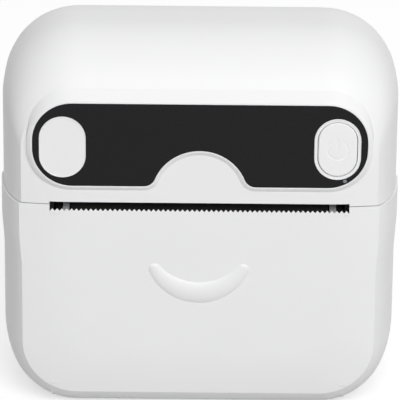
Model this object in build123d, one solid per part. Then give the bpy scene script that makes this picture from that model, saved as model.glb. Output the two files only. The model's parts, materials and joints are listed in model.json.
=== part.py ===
from build123d import *
from math import asin, cos, radians, sin, sqrt
import os

# Portable photo printer: a rounded white block with a black visor panel, a front lid
# hinged at the bottom, and a rubber platen that the lid carries up to a fixed head.
# Millimetres. The front faces -Y, +Z is up and the base stands on z = 0.

# Outer body, built up round the paper roll and the mechanism
corner_radius = 16.0
wall = 2.0
side_room = 2.5
back_room = 1.9
forehead = 12.2
side_flat = 2.0
roll_steps = 10
side_roll_inset = 6.7
top_roll = 17.0
bottom_roll = 7.6
belly_trim = 0.3
crown_height = 1.0
crown_run = 11.0
crown_steps = 4
crown_corner_share = 0.45

# Visor panel and its raised seat
visor_side = 6.95
visor_height = 18.0
visor_lift = 3.8
visor_end_radius = 8.2
visor_thickness = 0.8
visor_play = 0.05
nose_radius = 10.0
nose_rise = 7.9
nose_foot_radius = 2.5
seat_height = 0.5
seat_rim = 0.4
seat_skirt = 1.1
seat_root_skirt = 1.3
seat_root_depth = 2.0
seat_brow = 2.6

# Eye boss, button and indicator
eye_inset = 6.2
eye_lift = 8.5
boss_width = 9.6
boss_length = 13.3
ring_wall = 0.65
button_play = 0.15
button_proud = 0.2
button_edge = 0.2
button_flange = 0.4
button_flange_thickness = 0.75
flange_play = 0.05
button_travel = 0.35
symbol_radius = 2.1
symbol_stroke = 0.45
symbol_depth = 0.12
symbol_gap_angle = 70.0
lamp_radius = 0.4
lamp_shift = 1.65
lamp_lift = 1.55

# Paper slot, tear teeth and lid
slot_end = 0.8
slot_lift = 5.7
slot_height = 2.0
tooth_pitch = 1.0
tooth_height = 0.55
tooth_thickness = 1.2
tooth_root = 0.5
seam_drop = 0.5
seam_gap = 0.2
grip_proud = 0.45
grip_fade = 0.1
grip_reach = 15.5
grip_flat = 7.5
rib_thickness = 0.8
rib_height = 1.2
rib_spacing = 18.0
rib_low = 12.0
smile_half_width = 10.5
smile_bottom = 24.6
smile_drop = 7.4
smile_thickness = 4.6
smile_tip_rise = 1.1
smile_tip_width = 2.1
smile_proud = 0.45
smile_edge = 0.25
smile_root = 0.6

# Lid hinge
hinge_z = 5.6
hinge_setback = 5.5
hinge_gap = 0.4
barrel_wall = 1.5
barrel_sweep = 42.0
barrel_disc_gap = 2.0
hinge_pin_radius = 1.0
hinge_boss_radius = 2.3
hinge_play = 0.05
hinge_web_angle = 45.0
lid_side_depth = 8.6
lid_ear_gap = 0.3
lid_ear_thickness = 1.8

# Paper bay and chassis
paper_width = 53.0
roll_diameter = 30.0
bay_play = 0.9
bay_headroom = 2.8
bay_rear_play = 0.8
cheek_thickness = 1.5
bay_floor = 3.8
bay_wall = 1.3
bay_corner = 3.5
bay_front_gap = 0.4
cheek_corner = 3.0
sensor_width = 6.0
sensor_length = 4.0
sensor_thickness = 1.2
plate_gap = 0.4
plate_thickness = 1.5
plate_overlap = 2.2
plate_setback = 0.8
plate_front_gap = 1.6
bridge_room = 2.0
bridge_thickness = 1.5
guide_roof_gap = 0.3
guide_roof_thickness = 1.4

# Platen roller and its carrier
platen_air = 0.7
platen_lift = 4.7
platen_radius = 4.0
platen_over = 0.3
shaft_radius = 1.5
shaft_setback = 0.2
bush_play = 0.3
bush_flange_radius = 3.6
bush_flange = 1.4
bush_radius = 2.4
carrier_thickness = 1.4
carrier_plate = 1.2
carrier_drop = 7.9
carrier_width = 5.1
carrier_boss_radius = 3.2
shaft_notch_play = 0.5
notch_swing = 0.3
notch_flare = 0.8

# Print head
head_gap = 0.3
head_over = 0.5
ceramic_thickness = 1.0
ceramic_below = 3.7
ceramic_above = 3.5
heat_line_half = 0.5
heat_line_proud = 0.2
sink_thickness = 3.0
sink_below = 6.0
sink_above = 5.6
sink_slot_half = 2.2
sink_slot_depth = 1.2
sink_slot_height = 3.2
head_pivot_radius = 0.75
head_pivot_drop = 4.6
leaf_foot = 2.0
leaf_thickness = 0.3
leaf_half = 18.0
leaf_arch = 1.75
leaf_width = 3.0

# Gear train
gear_module = 0.5
platen_teeth = 14
idler_teeth = 30
cluster_small_teeth = 12
cluster_large_teeth = 36
pinion_teeth = 12
gear_width = 2.0
gear_air = 0.3
gear_gap = 0.4
gear_pin_end = 0.3
shaft_end = 0.5
cluster_angle = 62.0
motor_angle = 60.0
gear_pin_radius = 1.0
gear_play = 0.05

# Motor
motor_radius = 7.5
motor_length = 11.8
motor_flange = 0.9
motor_ear_reach = 10.0
motor_ear_radius = 2.2
motor_ear_angle = 100.0
motor_boss_radius = 2.45

# Boards and battery
board_thickness = 1.2
board_room = 3.4
board_edge_gap = 0.3
motor_room = 2.5
board_headroom = 13.0
board_neck_half = 6.5
board_neck_gap = 1.3
board_play = 0.5
socket_width = 8.94
socket_height = 3.2
socket_depth = 7.3
socket_lift = 9.7
socket_wall = 0.35
socket_play = 0.25
socket_inset = 0.4
tongue_inset = 0.8
tongue_half = 0.35
battery_inset = 1.0
battery_screw_gap = 3.1
battery_air = 1.4
battery_thickness = 6.2
battery_corner = 2.0
switch_radius = 2.5
switch_height = 0.4
switch_gap = 0.05

# Parts on the main board: x, rise over the board's foot, width, height and thickness
processor = (-4.0, 18.1, 7.0, 7.0, 0.9)
motor_driver = (6.0, 11.1, 5.0, 6.0, 1.0)
radio_module = (-16.0, 22.1, 12.0, 9.0, 1.6)
power_coil = (8.0, 24.1, 4.0, 4.0, 1.4)
head_connector = (-17.0, 6.1, 8.0, 3.5, 1.8)

# Screws
screw_radius = 1.0
screw_head_radius = 1.9
screw_head_height = 1.3
screw_boss_radius = 2.6
boss_web = 1.4
case_screw_length = 10.0
front_screw_length = 8.0
screw_play = 0.1
head_play = 0.3
tube_wall = 0.4
boss_root = 0.2
shelf_gap = 0.8
rail_height = 2.5
rail_thickness = 1.0
rail_inset = 2.0
bush_end = 0.1
low_boss_gap = 0.5
low_screw_z = 14.0
high_boss_inset = 5.3
high_boss_gap = 0.86
front_screw_x = 12.0
front_tab_half = 3.2
front_tab_rise = 3.8
screw_recess = 4.8
screw_floor = 2.0

# Button board
board_post_shift = 7.55
board_post_below = 5.3
board_post_above = 3.9
button_board_width = 15.6
button_board_side = 2.4
button_board_top = 2.2
button_board_foot = 1.4
board_post_radius = 1.6

# Widths, from the paper outwards
bay_half = paper_width / 2 + bay_play
cheek_outer = bay_half + cheek_thickness
lid_ear_inner = cheek_outer + lid_ear_gap
lid_ear_outer = lid_ear_inner + lid_ear_thickness
barrel_disc_inner = lid_ear_outer + barrel_disc_gap
platen_half = paper_width / 2 + platen_over
sink_half = paper_width / 2 + head_over
carrier_inner = platen_half + bush_play + bush_flange
carrier_outer = carrier_inner + carrier_thickness
plate_inner = carrier_outer + plate_gap
plate_outer = plate_inner + plate_thickness
gear_plane = plate_outer + gear_gap
upper_plane = gear_plane + gear_width + gear_air
half_width = upper_plane + gear_width + shaft_end + side_room + wall
body_width = 2 * half_width
visor_width = body_width - 2 * visor_side
eye_x = visor_width / 2 - eye_inset
lamp_x = eye_x + lamp_shift
slot_length = 2 * (plate_inner + slot_end)
low_screw_x = cheek_outer + screw_boss_radius + low_boss_gap
high_screw_x = plate_inner - high_boss_inset
board_post_x = eye_x - board_post_shift
board_left = board_edge_gap - plate_inner
board_right = plate_inner - motor_length - motor_room
board_neck_left = board_neck_gap + wall - half_width
battery_left = screw_head_radius + battery_screw_gap - high_screw_x
battery_right = board_right - battery_inset

# Depths, from the paper roll to the back and the front
bay_back = roll_diameter / 2 + bay_rear_play
back_y = bay_back + bay_wall + back_room + wall
body_depth = 2 * back_y
seat_y = -back_y
face_y = seat_y + seat_height
face_depth = -face_y
crease_depth = face_depth - crown_height
roll_start = side_flat
hinge_y = face_y + hinge_setback
channel_radius = hinge_z + hinge_gap
lid_side_back = face_y + lid_side_depth
inner_face_y = face_y + wall
plate_front = inner_face_y + plate_front_gap
plate_rear = bay_back - plate_setback
bay_front = hinge_y + channel_radius + bay_front_gap
platen_y = inner_face_y + platen_radius + platen_air
ceramic_front = platen_y + platen_radius + head_gap
sink_front = ceramic_front + ceramic_thickness
sink_back = sink_front + sink_thickness
bridge_front = sink_back + bridge_room
bridge_back = bridge_front + bridge_thickness
head_pivot_y = (sink_front + sink_back) / 2
panel_floor = seat_y + visor_thickness
flange_front = inner_face_y + flange_play
flange_back = flange_front + button_flange_thickness
button_board_front = flange_back + button_travel + switch_gap + switch_height
battery_back = back_y - wall - battery_air
battery_front = battery_back - battery_thickness
board_front = battery_front - board_room
board_back = board_front + board_thickness
screw_seat = back_y - screw_recess
boss_back = screw_seat - screw_floor
boss_front = boss_back - case_screw_length

# Heights, from the floor of the bay to the top
bay_roof = bay_floor + roll_diameter + bay_headroom
plate_bottom = bay_roof - plate_overlap
platen_z = bay_roof + platen_lift
carrier_low = platen_z - carrier_drop
carrier_high = carrier_low + carrier_width
ceramic_low = platen_z - ceramic_below
ceramic_high = platen_z + ceramic_above
sink_low = platen_z - sink_below
sink_high = platen_z + sink_above
head_pivot_z = platen_z - head_pivot_drop
slot_top = platen_z + slot_lift
seam_z = slot_top - seam_drop
grip_full = seam_z - grip_flat
grip_foot = seam_z - grip_reach
guide_roof_low = slot_top + guide_roof_gap
guide_roof_high = guide_roof_low + guide_roof_thickness
front_screw_z = guide_roof_high + front_tab_rise
socket_z = platen_z + socket_lift
visor_bottom = slot_top + visor_lift
visor_top = visor_bottom + visor_height
body_height = visor_top + forehead
eye_height = visor_bottom + eye_lift
lamp_z = visor_bottom + lamp_lift
board_post_low = eye_height - board_post_below
board_post_high = eye_height + board_post_above
board_low = bay_roof + bay_wall
board_top = body_height - board_headroom

# Button cap, inside its ring
ring_width = boss_width - 2 * ring_wall
ring_length = boss_length - 2 * ring_wall
button_width = ring_width - 2 * button_play
button_length = ring_length - 2 * button_play


def span(x, y, z):
    """A box between low and high values on each axis."""
    size = [high - low for low, high in (x, y, z)]
    middle = [(low + high) / 2 for low, high in (x, y, z)]
    return Pos(*middle) * Box(*size)


def across(radius, low, high, y, z):
    """A round bar along X."""
    return Pos((low + high) / 2, y, z) * Rot(0, 90, 0) * Cylinder(radius, high - low)


def along(radius, low, high, x, z):
    """A round bar along Y."""
    return Pos(x, (low + high) / 2, z) * Rot(90, 0, 0) * Cylinder(radius, high - low)


def side_profile(points, low, high):
    """A prism along X from points given as (y, z)."""
    face = make_face(Plane.YZ.offset(low) * Polyline(points, close=True))
    return extrude(face, high - low, dir=(1, 0, 0))


def front_prism(sketch, front, back):
    """A prism along Y from a sketch drawn as (x, z)."""
    return extrude(Plane.XZ.offset(-back) * sketch, back - front, dir=(0, -1, 0))


def stadium(width, length, x, z):
    """An upright slot shape, drawn as (x, z)."""
    return Pos(x, z) * Rot(0, 0, 90) * SlotOverall(length, width)


def mirrored(solid):
    """A solid and its mirror image on the other side of X = 0."""
    return solid + mirror(solid, Plane.YZ)


def save(name, solid):
    """Write one sub-part."""
    export_step(solid, os.path.join("parts", name + ".step"))


def arc_inset(depth, face, length, inset):
    """How far an elliptic roll has drawn in at this depth."""
    share = (depth - face + length) / length
    if share <= 0:
        return 0.0
    return inset * (1 - sqrt(max(0.0, 1 - share * share)))


def roll_insets(depth, face):
    """Side, top and bottom insets of the outer skin at this depth."""
    side = arc_inset(depth, face, face - roll_start, side_roll_inset)
    top = arc_inset(depth, face, top_roll, top_roll)
    bottom = arc_inset(depth, face, bottom_roll, bottom_roll) - belly_trim
    return side, top, bottom


def outline(insets, radius):
    """The front outline with its edges drawn in, as (x, z)."""
    side, top, bottom = insets
    width = body_width - 2 * side
    height = body_height - top - bottom
    return Pos(0, bottom + height / 2) * RectangleRounded(width, height, radius)


def roll_loft(last, face, way):
    """The rolled skin up to its last depth, forward for way 1 and back for way -1."""
    length = face - roll_start
    turn = asin((last - roll_start) / length)
    sections = []
    for step in range(roll_steps + 1):
        depth = roll_start + length * sin(turn * step / roll_steps)
        insets = roll_insets(depth, face)
        sketch = outline(insets, corner_radius - insets[0])
        sections.append(Plane.XZ.offset(way * depth) * sketch)
    return loft(sections, ruled=True)


def crown_loft():
    """The slightly crowned front face inside the crease."""
    side, top, bottom = roll_insets(crease_depth, face_depth)
    crease_radius = corner_radius - side
    sections = []
    for step in range(crown_steps + 1):
        share = step / crown_steps
        depth = face_depth - crown_height * (1 - share) ** 2
        run = crown_run * share
        top = arc_inset(depth, face_depth, top_roll, top_roll)
        radius = crease_radius * (1 - crown_corner_share * share)
        sections.append(Plane.XZ.offset(depth) * outline((side + run, top, bottom + run), radius))
    return loft(sections, ruled=True)


def front_form():
    """The solid front half of the outer body."""
    form = extrude(Plane.XZ * outline((0, 0, -belly_trim), corner_radius), roll_start)
    form += roll_loft(crease_depth, face_depth, 1)
    form += crown_loft()
    return form - span((-body_width, body_width), (-body_depth, body_depth), (-wall, 0))


def rear_form():
    """The solid rear half of the outer body."""
    form = extrude(Plane.XZ * outline((0, 0, -belly_trim), corner_radius), -roll_start)
    form += roll_loft(back_y, back_y, -1)
    return form - span((-body_width, body_width), (-body_depth, body_depth), (-wall, 0))


def cavity(face, deepest, way):
    """The hollow inside one half of the body."""
    sections = []
    for share in (0.0, 0.4, 0.7, 0.88, 1.0):
        depth = share * (face - wall)
        side, top, bottom = roll_insets(share * deepest, face)
        insets = (side + wall, top + wall, bottom + wall)
        sketch = outline(insets, corner_radius - wall - side)
        sections.append(Plane.XZ.offset(way * depth) * sketch)
    return loft(sections, ruled=True)


def visor_outline(grow=0.0, grow_top=0.0):
    """The visor's outline with its nose arch, as (x, z), grown by these amounts."""
    low = visor_bottom - grow
    high = visor_top + grow_top
    end_radius = min(visor_end_radius + grow, (high - low) / 2 - 0.05)
    band = Pos(0, (low + high) / 2) * RectangleRounded(visor_width + 2 * grow, high - low, end_radius)
    arch_z = visor_bottom + nose_rise - nose_radius
    shape = band - Pos(0, arch_z) * Circle(nose_radius - grow)
    feet = [v for v in shape.vertices() if abs(v.Y - low) < 0.001 and abs(v.X) < nose_radius]
    return fillet(feet, nose_foot_radius + grow)


def visor_seat():
    """The raised seat round the visor, with a sloping side."""
    brow_share = seat_height / seat_root_depth
    knee_brow = seat_rim + brow_share * (seat_brow - seat_rim)
    levels = ((0.0, seat_rim, seat_rim), (seat_height, seat_skirt, knee_brow))
    levels += ((seat_root_depth, seat_root_skirt, seat_brow),)
    sections = [Plane.XZ.offset(-seat_y - depth) * visor_outline(grow, brow) for depth, grow, brow in levels]
    return loft(sections, ruled=True)


def screw(x, z, head_y, way, length):
    """A round-headed screw along Y with its head at head_y, driven towards way."""
    tip = head_y + way * length
    seat = head_y + way * screw_head_height
    head = along(screw_head_radius, min(head_y, seat), max(head_y, seat), x, z)
    shank = along(screw_radius, min(seat, tip), max(seat, tip), x, z)
    return head + shank


def front_case():
    """The upper front moulding with the forehead, visor seat, eye boss and button ring."""
    shell = front_form() - cavity(face_depth, crease_depth, 1)
    case = shell & span((-body_width, body_width), (-body_depth, 0), (seam_z, body_height + 1))
    case += visor_seat() - span((-body_width, body_width), (inner_face_y, 0), (0, body_height))
    slot_room = (seam_z - 1, slot_top)
    case -= span((-slot_length / 2, slot_length / 2), (-body_depth, inner_face_y + wall), slot_room)
    case -= front_prism(visor_outline(visor_play, visor_play), seat_y - 1, panel_floor)
    case += front_prism(stadium(boss_width, boss_length, -eye_x, eye_height), seat_y, panel_floor)
    case += front_prism(stadium(boss_width, boss_length, eye_x, eye_height), seat_y, panel_floor)
    case -= front_prism(stadium(ring_width, ring_length, eye_x, eye_height), seat_y - 1, inner_face_y + 1)
    case -= along(lamp_radius, seat_y - 1, inner_face_y + 1, lamp_x, lamp_z)
    root = inner_face_y - boss_root
    for x in (-front_screw_x, front_screw_x):
        case += along(screw_boss_radius, root, bridge_front, x, front_screw_z)
        case -= along(screw_radius, inner_face_y + 1, bridge_back, x, front_screw_z)
    for z in (board_post_low, board_post_high):
        case += along(board_post_radius, root, button_board_front, board_post_x, z)
    return case


def visor_panel():
    """The thin black panel let into the seat."""
    panel = front_prism(visor_outline(), seat_y, panel_floor)
    for x in (-eye_x, eye_x):
        hole = stadium(boss_width + 2 * visor_play, boss_length + 2 * visor_play, x, eye_height)
        panel -= front_prism(hole, seat_y - 1, panel_floor + 1)
    return panel - along(lamp_radius, seat_y - 1, panel_floor + 1, lamp_x, lamp_z)


def power_symbol():
    """The open ring and bar cut into the button."""
    ring = Circle(symbol_radius + symbol_stroke / 2) - Circle(symbol_radius - symbol_stroke / 2)
    reach = 2 * symbol_radius
    spread = reach * sin(radians(symbol_gap_angle / 2))
    rise = reach * cos(radians(symbol_gap_angle / 2))
    ring -= make_face(Polyline((0, 0), (spread, rise), (-spread, rise), close=True))
    bar = Pos(0, symbol_radius / 2) * Rectangle(symbol_stroke, symbol_radius + symbol_stroke)
    return Pos(eye_x, eye_height) * (ring + bar)


def power_button():
    """The push cap with its retaining flange and a symbol cut into its face."""
    face = seat_y - button_proud
    cap = front_prism(stadium(button_width, button_length, eye_x, eye_height), face, flange_back)
    cap = chamfer(cap.faces().sort_by(Axis.Y)[0].edges(), button_edge)
    wide = stadium(ring_width + 2 * button_flange, ring_length + 2 * button_flange, eye_x, eye_height)
    cap += front_prism(wide, flange_front, flange_back)
    return cap - front_prism(power_symbol(), face - 1, face + symbol_depth)


def lid_region(grow=0.0):
    """The space that belongs to the lid: the front face and its short side returns."""
    low = hinge_z + seam_gap / 2
    top = seam_z - seam_gap + grow
    back = lid_side_back + grow
    points = [(-body_depth, -1), (hinge_y, -1), (hinge_y, low), (back, low)]
    points += [(back, top), (-body_depth, top)]
    return side_profile(points, -body_width, body_width)


def side_level(z, proud):
    """The body's plan outline at one height, ahead of the mid plane, grown at the sides."""
    length = face_depth - roll_start
    right = []
    for share in (0.0, 0.35, 0.6, 0.8, 0.92, 1.0):
        depth = roll_start + share * (crease_depth - roll_start)
        x = half_width - arc_inset(depth, face_depth, length, side_roll_inset) + proud
        right.append((x, -depth))
    left = [(-x, y) for x, y in right]
    heel = half_width - grip_fade
    edges = [Spline(right), Line(right[-1], left[-1]), Spline(left)]
    edges += [Line(left[0], (-heel, 0)), Line((-heel, 0), (heel, 0)), Line((heel, 0), right[0])]
    return Plane.XY.offset(z) * make_face(edges)


def grip_swell():
    """The swelling of the lid's sides into finger grips, fading out downwards."""
    swell = loft([side_level(grip_foot, -grip_fade), side_level(grip_full, grip_proud)], ruled=True)
    return swell + extrude(side_level(grip_full, grip_proud), seam_z - grip_full)


def tear_teeth():
    """The row of pointed teeth along the lid's top edge."""
    root = slot_top - slot_height
    count = int(slot_length / tooth_pitch)
    start = -count * tooth_pitch / 2
    points = [(start, root - tooth_root)]
    for tooth in range(count):
        left = start + tooth * tooth_pitch
        points += [(left, root), (left + tooth_pitch / 2, root + tooth_height)]
    points += [(-start, root), (-start, root - tooth_root)]
    face = make_face(Polyline(points, close=True))
    return front_prism(face, face_y, face_y + tooth_thickness)


def smile():
    """The raised crescent on the lid."""
    half = smile_half_width
    tip_low = (half, smile_bottom + smile_drop)
    tip_inner = (half - smile_tip_width, smile_bottom + smile_drop + smile_tip_rise)
    tip_peak = (half - 0.35 * smile_tip_width, smile_bottom + smile_drop + 1.15 * smile_tip_rise)
    outer = ThreePointArc((-tip_low[0], tip_low[1]), (0, smile_bottom), tip_low)
    right = ThreePointArc(tip_low, tip_peak, tip_inner)
    inner = ThreePointArc(tip_inner, (0, smile_bottom + smile_thickness), (-tip_inner[0], tip_inner[1]))
    left = ThreePointArc((-tip_inner[0], tip_inner[1]), (-tip_peak[0], tip_peak[1]), (-tip_low[0], tip_low[1]))
    crescent = make_face([outer, right, inner, left])
    crest_y = face_y - smile_proud
    foot = Plane.XZ.offset(-crest_y - smile_edge) * crescent
    crest = Plane.XZ.offset(-crest_y) * offset(crescent, -smile_edge)
    return front_prism(crescent, crest_y + smile_edge, face_y + smile_root) + loft([foot, crest], ruled=True)


def lid_ribs():
    """The upright stiffening ribs inside the lid's face."""
    ribs = None
    for x in (-rib_spacing, 0, rib_spacing):
        z = (rib_low, carrier_low - 1)
        y = (inner_face_y - boss_root, inner_face_y + rib_height)
        rib = span((x - rib_thickness / 2, x + rib_thickness / 2), y, z)
        ribs = rib if ribs is None else ribs + rib
    return ribs


def lid_ear(side):
    """One hinge ear, from the bottom of the lid up to the pin."""
    low = lid_ear_inner
    high = lid_ear_outer
    points = [(face_y + 0.8, hinge_z + 8), (face_y + 0.8, hinge_z), (face_y + 2.4, hinge_z - 3)]
    points += [(hinge_y, 0.8), (hinge_y + 1, 0.8), (hinge_y + 1, hinge_z)]
    ear = side_profile(points, low, high) + across(hinge_boss_radius, low, high, hinge_y, hinge_z)
    ear -= across(hinge_pin_radius, low - 1, high + 1, hinge_y, hinge_z)
    return ear if side > 0 else mirror(ear, Plane.YZ)


def hinge_barrel():
    """The rolled lower edge of the lid, with closing discs at its ends."""
    ring = across(hinge_z, -half_width, half_width, hinge_y, hinge_z)
    ring -= across(hinge_z - barrel_wall, -half_width, half_width, hinge_y, hinge_z)
    reach = 2 * hinge_z
    angles = [radians(-105), radians(-90 + barrel_sweep / 2), radians(-90 + barrel_sweep)]
    points = [(hinge_y, hinge_z)]
    points += [(hinge_y + reach * cos(angle), hinge_z + reach * sin(angle)) for angle in angles]
    barrel = ring & side_profile(points, -barrel_disc_inner - 1, barrel_disc_inner + 1)
    disc = across(hinge_z, barrel_disc_inner, half_width, hinge_y, hinge_z)
    return (barrel + mirrored(disc)) & front_form()


def lid():
    """The hinged front cover with tear teeth, finger grips and a raised smile."""
    form = front_form() + grip_swell()
    shell = (form - cavity(face_depth, crease_depth, 1)) & lid_region()
    root = slot_top - slot_height
    shell -= span((-slot_length / 2, slot_length / 2), (-body_depth, hinge_y), (root, seam_z + 1))
    shell += tear_teeth()
    shell += smile()
    shell += lid_ribs()
    shell += hinge_barrel()
    for side in (-1, 1):
        shell += lid_ear(side)
    return shell


def rear_case():
    """The rear moulding with the floor and sides that reach forward to the lid."""
    case = rear_form() - cavity(back_y, back_y - crown_height / 2, -1)
    reach = span((-body_width, body_width), (hinge_y, 0), (-1, seam_z - seam_gap))
    skirt = (front_form() + grip_swell() - cavity(face_depth, crease_depth, 1)) & reach
    skirt -= lid_region(seam_gap)
    case += skirt - across(channel_radius, -body_width, body_width, hinge_y, hinge_z)
    case -= socket_opening()
    for x, z in case_screw_places():
        case += along(screw_boss_radius + tube_wall, boss_back, back_y - wall + boss_root, x, z)
        case -= along(screw_head_radius + head_play, screw_seat, back_y + 1, x, z)
        case -= along(screw_radius + screw_play, boss_back - 1, back_y, x, z)
    return case


def high_screw_z():
    """The height of the upper case screws, under the motor."""
    return motor_place()[1] - motor_radius - screw_boss_radius - high_boss_gap


def case_screw_places():
    """Where the four long screws enter the back."""
    low = [(-low_screw_x, low_screw_z), (low_screw_x, low_screw_z)]
    return low + [(-high_screw_x, high_screw_z()), (high_screw_x, high_screw_z())]


def socket_bar(grow, start, end):
    """The socket's rounded outline, grown and drawn out along X."""
    shape = SlotOverall(socket_width + 2 * grow, socket_height + 2 * grow)
    place = Pos(board_front - socket_height / 2, socket_z) * Rot(0, 0, 90)
    return extrude(Plane.YZ.offset(start) * (place * shape), end - start, dir=(1, 0, 0))


def socket_opening():
    """The rounded port cut through the side wall for the charging socket."""
    return socket_bar(socket_play, -half_width - wall, -half_width + 2 * wall)


def usb_socket():
    """The charging socket's metal shell with its tongue."""
    mouth = socket_inset - half_width
    end = mouth + socket_depth
    shell = socket_bar(0, mouth, end) - socket_bar(-socket_wall, mouth, end - 1)
    middle = board_front - socket_height / 2
    reach = socket_width / 2 - socket_height / 2 + tongue_half
    z = (socket_z - reach, socket_z + reach)
    return shell + span((mouth + tongue_inset, end), (middle - tongue_half, middle + tongue_half), z)


def bay_section(grow, front):
    """The bay's outline with round rear corners, grown, as (y, z)."""
    low = bay_floor - grow
    high = bay_roof + grow
    rear = bay_back + grow
    shape = make_face(Polyline([(front, low), (rear, low), (rear, high), (front, high)], close=True))
    return fillet(shape.vertices().group_by(Axis.X)[-1], bay_corner + grow)


def bay_liner():
    """The C-shaped wall under, behind and over the paper roll."""
    section = bay_section(bay_wall, bay_front) - bay_section(0, seat_y)
    liner = extrude(Plane.YZ.offset(-cheek_outer) * section, 2 * cheek_outer, dir=(1, 0, 0))
    return liner - span((-body_width, body_width), (-body_depth, bridge_front), (bay_roof - 1, seam_z))


def bay_cheek():
    """The right side wall of the bay, with the ear that holds the hinge pin."""
    rear = bay_back + bay_wall - 1
    front = bay_front
    top = plate_bottom + 1
    low = bay_floor - bay_wall + 0.5
    step = (carrier_low - 1.4, platen_y + carrier_boss_radius + 1)
    points = [(front, low), (rear - cheek_corner, low), (rear, low + cheek_corner)]
    points += [(rear, top), (step[1], top), (step[1], step[0])]
    points += [(inner_face_y + 2.0, step[0]), (hinge_y - hinge_boss_radius + 0.4, hinge_z + 6)]
    points += [(hinge_y - hinge_boss_radius + 0.4, hinge_z), (front, hinge_z)]
    cheek = side_profile(points, bay_half, cheek_outer)
    reach = 2 * channel_radius
    rise = (hinge_y + reach * cos(radians(hinge_web_angle)), hinge_z + reach * sin(radians(hinge_web_angle)))
    below = [(hinge_y, hinge_z), rise, (hinge_y + reach, hinge_z - reach), (hinge_y, hinge_z - reach)]
    cheek -= across(channel_radius, 0, half_width, hinge_y, hinge_z) & side_profile(below, 0, half_width)
    cheek += across(hinge_boss_radius, bay_half, cheek_outer, hinge_y, hinge_z)
    return cheek - across(hinge_pin_radius + hinge_play, 0, cheek_outer + 1, hinge_y, hinge_z)


def roller_notch():
    """The open notch that lets the roller shaft swing in with the lid."""
    radius = shaft_radius + shaft_notch_play
    low = platen_z - radius - notch_swing
    high = platen_z + radius
    mouth = plate_front + notch_flare
    points = [(platen_y, low), (platen_y, high), (mouth, high), (plate_front, high + notch_flare)]
    points += [(seat_y, high + notch_flare), (seat_y, low - notch_flare)]
    points += [(plate_front, low - notch_flare), (mouth, low)]
    notch = side_profile(points, -half_width, half_width)
    return notch + across(radius, -half_width, half_width, platen_y, platen_z)


def side_plate(top_points):
    """One upper side plate, from points that give its upper edge as (y, z)."""
    points = [(plate_front, plate_bottom), (plate_rear, plate_bottom)] + top_points
    points.append((plate_front, guide_roof_high))
    return side_profile(points, plate_inner, plate_outer) - roller_notch()


def chassis():
    """The black inner frame: paper bay, side plates, roller notches, head bridge and motor mount."""
    cheek = bay_cheek()
    frame = bay_liner() + cheek + mirror(cheek, Plane.YZ)
    shelf_z = (plate_bottom, plate_bottom + bay_wall)
    frame += mirrored(span((cheek_outer - boss_root, plate_outer), (sink_front - shelf_gap, plate_rear), shelf_z))
    motor_y, motor_z = motor_place()
    tall = motor_z + motor_ear_reach + motor_ear_radius
    slope = [(motor_y + motor_ear_radius, tall), (motor_y - 6, tall), (bridge_front - 5, guide_roof_high)]
    right = side_plate([(plate_rear, motor_z + motor_ear_radius)] + slope)
    neck_foot = socket_z - board_neck_half - 3 * board_play
    left_points = [(plate_rear, neck_foot), (board_front - 3 * board_play, neck_foot)]
    left = side_plate(left_points + [(bridge_back + board_play, guide_roof_high)])
    frame += right + mirror(left, Plane.YZ)
    width = (-plate_outer, plate_outer)
    frame += span(width, (bridge_front, bridge_back), (bay_roof, guide_roof_high))
    frame += span(width, (inner_face_y + guide_roof_gap, bridge_back), (guide_roof_low, guide_roof_high))
    for x in (-front_screw_x, front_screw_x):
        tab = (x - front_tab_half, x + front_tab_half)
        frame += span(tab, (bridge_front, bridge_back), (guide_roof_low, front_screw_z + front_tab_half))
        frame -= along(screw_radius + screw_play, bridge_front - 1, bridge_back + 1, x, front_screw_z)
    frame += screw_bosses() + board_rails()
    frame -= across(motor_boss_radius, plate_inner - 1, plate_outer + 1, motor_y, motor_z)
    for y, z in (idler_place(), cluster_place(), *motor_screw_places()):
        frame -= across(gear_pin_radius, plate_inner - 1, plate_outer + 1, y, z)
    return frame - across(head_pivot_radius, -plate_outer - 1, plate_outer + 1, head_pivot_y, head_pivot_z)


def screw_bosses():
    """The four pillars that take the case screws."""
    bosses = None
    for x, z in case_screw_places():
        pillar = along(screw_boss_radius, boss_front, boss_back, x, z)
        if abs(x) > cheek_outer:
            root = boss_root - cheek_outer if x < 0 else cheek_outer - boss_root
            web_x = (min(root, x), max(root, x))
            web_z = (z - boss_web / 2, z + boss_web / 2)
        else:
            web_x = (x - boss_web / 2, x + boss_web / 2)
            web_z = (bay_roof + boss_root, z)
        pillar += span(web_x, (boss_front, boss_back), web_z)
        pillar -= along(screw_radius, 0, back_y, x, z)
        bosses = pillar if bosses is None else bosses + pillar
    return bosses


def board_rails():
    """The two low rails on the bay roof that hold the main board's foot."""
    z = (bay_roof + boss_root, board_low + rail_height)
    x = (rail_inset - high_screw_x, board_right - rail_inset)
    front = span(x, (board_front - rail_thickness, board_front), z)
    return front + span(x, (board_back, board_back + rail_thickness), z)


def lid_carrier():
    """The bracket inside the lid that carries the roller's bushes."""
    back = inner_face_y + carrier_plate
    plate = span((-carrier_outer, carrier_outer), (inner_face_y, back), (carrier_low, carrier_high))
    shoulder = carrier_boss_radius - 0.3
    points = [(inner_face_y, carrier_low), (back + 1, carrier_low), (platen_y + shoulder, platen_z - 0.8)]
    points += [(platen_y, platen_z), (platen_y - shoulder, platen_z + 1), (inner_face_y, carrier_high)]
    ear = side_profile(points, carrier_inner, carrier_outer)
    ear += across(carrier_boss_radius, carrier_inner, carrier_outer, platen_y, platen_z)
    ear -= across(bush_radius, 0, half_width, platen_y, platen_z)
    return plate + mirrored(ear)


def roller_bushes():
    """The two grey flanged bushes at the ends of the roller."""
    flange_low = carrier_inner - bush_flange
    end = carrier_outer + bush_end
    bush = across(bush_flange_radius, flange_low, carrier_inner, platen_y, platen_z)
    bush += across(bush_radius, flange_low, end, platen_y, platen_z)
    bush -= across(shaft_radius + hinge_play, 0, half_width, platen_y, platen_z)
    return mirrored(bush)


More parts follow.
